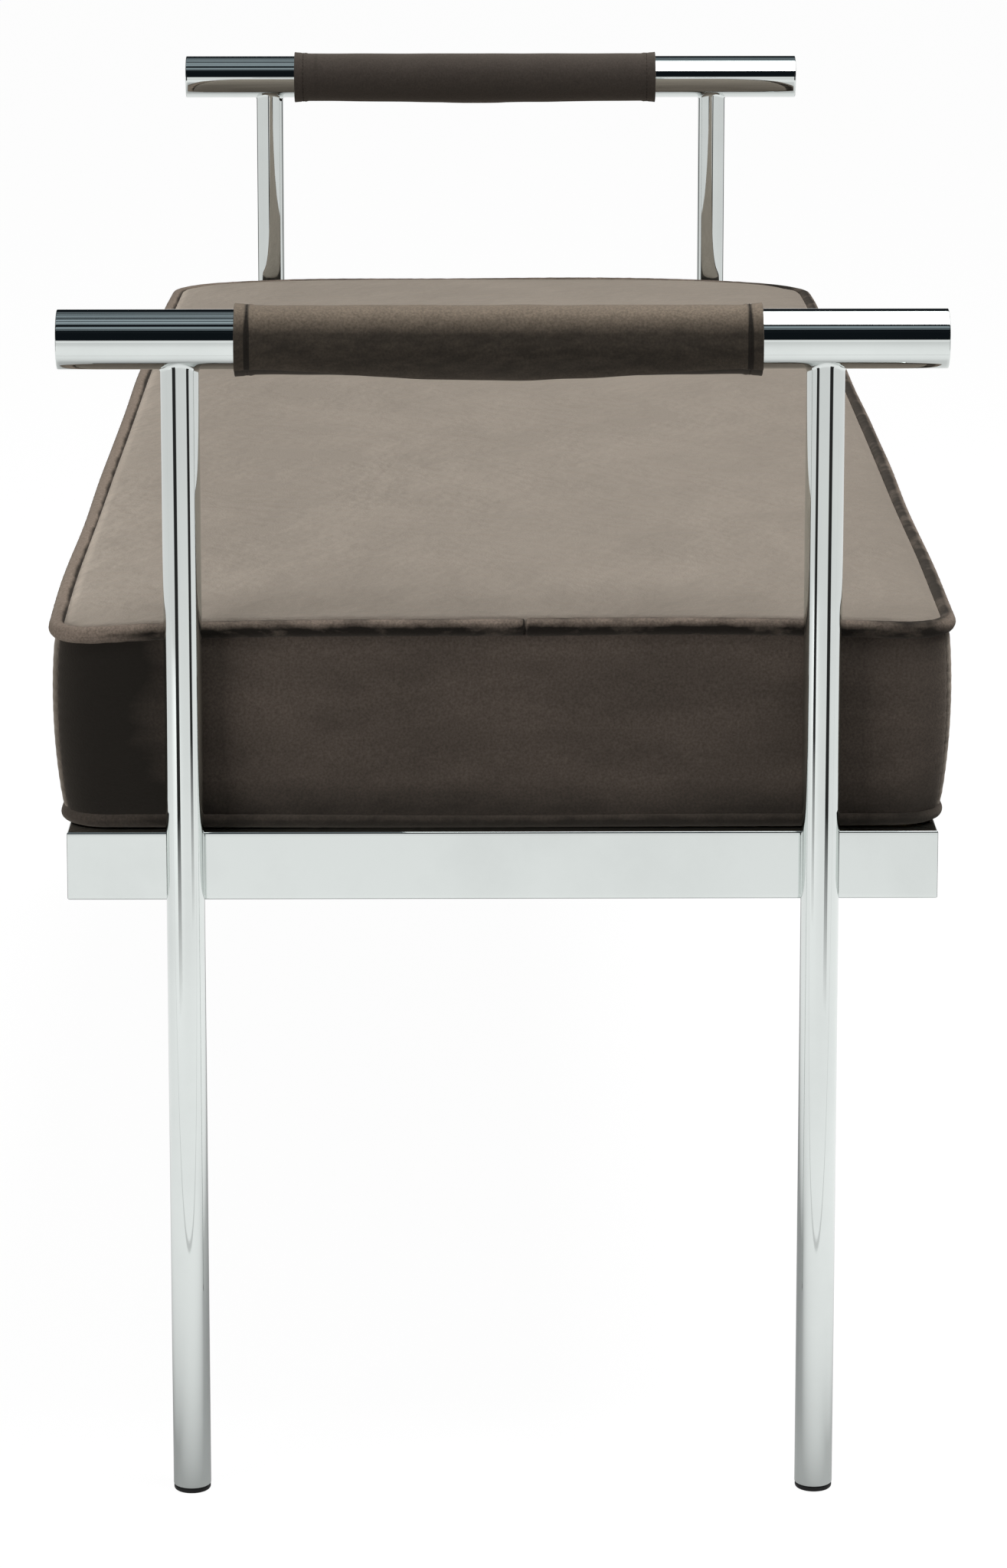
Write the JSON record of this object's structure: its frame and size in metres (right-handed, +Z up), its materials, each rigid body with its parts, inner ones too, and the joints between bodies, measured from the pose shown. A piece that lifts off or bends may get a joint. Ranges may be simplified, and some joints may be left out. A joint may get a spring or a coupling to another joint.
{
  "type": "luggage bench",
  "caption": "Long upholstered luggage bench: piped velvet box cushion on a chromed tube frame, with a raised, velvet-sleeved grab bar across each end.",
  "frame": {"origin": "on the floor, under the middle of the seat", "axes": "+X along the bench towards end A, +Y across the bench, +Z up"},
  "size_m": [1.4052, 0.522, 0.6999],
  "materials": {
    "chrome": "polished",
    "zinc_plate": "satin",
    "black_plastic": "matt",
    "velvet": "short dark taupe pile",
    "sleeve_lining": "thin felt",
    "foam": "open-cell foam",
    "plywood": "bare",
    "dust_cloth": "matt non-woven"
  },
  "bodies": {
    "root": {"top_bar_a": "chrome", "end_rail_a": "chrome", "sleeve_cover_a": "velvet", "end_band_a": "velvet", "sleeve_lining_a": "sleeve_lining", "bar_end_plug_a_left": "chrome", "post_a_left": "chrome", "foot_glide_a_left": "black_plastic", "post_insert_a_left_upper": "zinc_plate", "post_bolt_a_left_upper": "zinc_plate", "post_insert_a_left_lower": "zinc_plate", "post_bolt_a_left_lower": "zinc_plate", "bar_end_plug_a_right": "chrome", "post_a_right": "chrome", "foot_glide_a_right": "black_plastic", "post_insert_a_right_upper": "zinc_plate", "post_bolt_a_right_upper": "zinc_plate", "post_insert_a_right_lower": "zinc_plate", "post_bolt_a_right_lower": "zinc_plate", "top_bar_b": "chrome", "end_rail_b": "chrome", "sleeve_cover_b": "velvet", "end_band_b": "velvet", "sleeve_lining_b": "sleeve_lining", "bar_end_plug_b_left": "chrome", "post_b_left": "chrome", "foot_glide_b_left": "black_plastic", "post_insert_b_left_upper": "zinc_plate", "post_bolt_b_left_upper": "zinc_plate", "post_insert_b_left_lower": "zinc_plate", "post_bolt_b_left_lower": "zinc_plate", "bar_end_plug_b_right": "chrome", "post_b_right": "chrome", "foot_glide_b_right": "black_plastic", "post_insert_b_right_upper": "zinc_plate", "post_bolt_b_right_upper": "zinc_plate", "post_insert_b_right_lower": "zinc_plate", "post_bolt_b_right_lower": "zinc_plate", "side_rail_left": "chrome", "side_band_left": "velvet", "side_rail_right": "chrome", "side_band_right": "velvet", "cross_brace_1": "chrome", "board_screw_1_left": "zinc_plate", "board_screw_1_right": "zinc_plate", "cross_brace_2": "chrome", "board_screw_2_left": "zinc_plate", "board_screw_2_right": "zinc_plate", "cross_brace_3": "chrome", "board_screw_3_left": "zinc_plate", "board_screw_3_right": "zinc_plate", "dust_cover": "dust_cloth", "seat_board": "plywood", "seat_foam": "foam", "top_panel": "velvet", "top_piping": "velvet", "bottom_piping": "velvet"}
  },
  "joints": []
}
